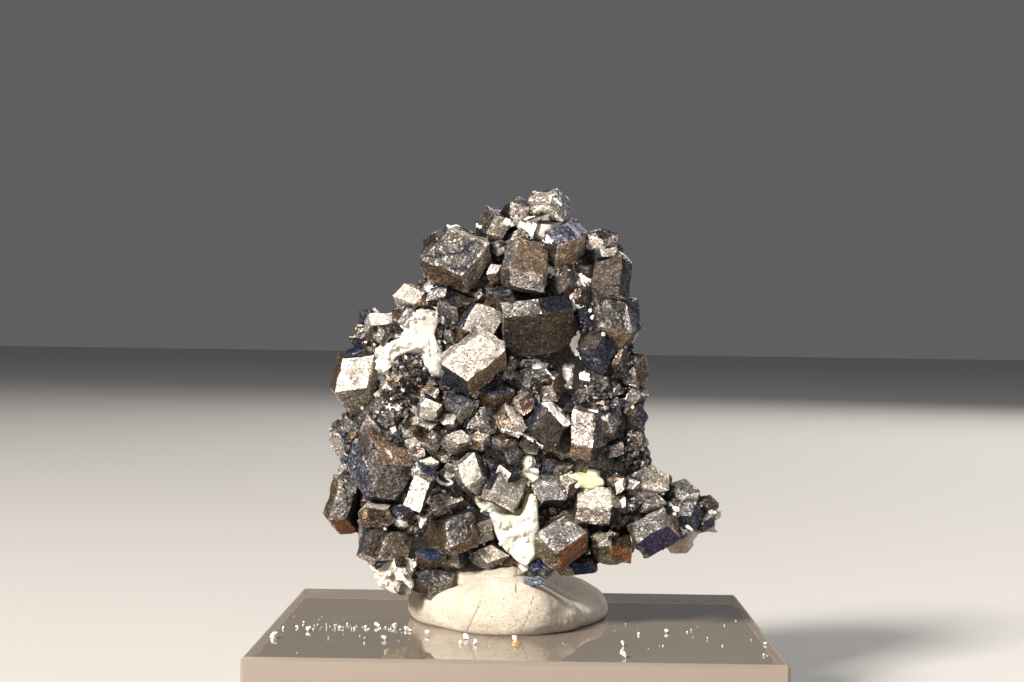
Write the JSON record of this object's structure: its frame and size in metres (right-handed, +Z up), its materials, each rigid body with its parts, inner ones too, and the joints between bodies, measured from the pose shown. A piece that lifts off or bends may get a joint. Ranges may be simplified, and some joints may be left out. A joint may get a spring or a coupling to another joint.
{
  "type": "magnetite specimen",
  "caption": "Cluster of magnetite crystals on white feldspar, set in putty on a clear acrylic display slab.",
  "frame": {"origin": "middle of the slab's underside", "axes": "+Z up, out of the slab's top face; the pictured side of the specimen faces -Y, with +X to its right"},
  "size_m": [0.05, 0.05, 0.0542],
  "materials": {
    "magnetite_crystals": "metallic grey-black, finely granular",
    "feldspar_matrix": "rough, broken",
    "magnetite_chip": "metallic blue-grey",
    "mounting_putty": "matte, sandy",
    "acrylic_base": "polished, sawn edges"
  },
  "bodies": {
    "root": {"magnetite_crystals": "magnetite_crystals", "feldspar_matrix": "feldspar_matrix", "magnetite_chip": "magnetite_chip", "mounting_putty": "mounting_putty", "acrylic_base": "acrylic_base"}
  },
  "joints": []
}
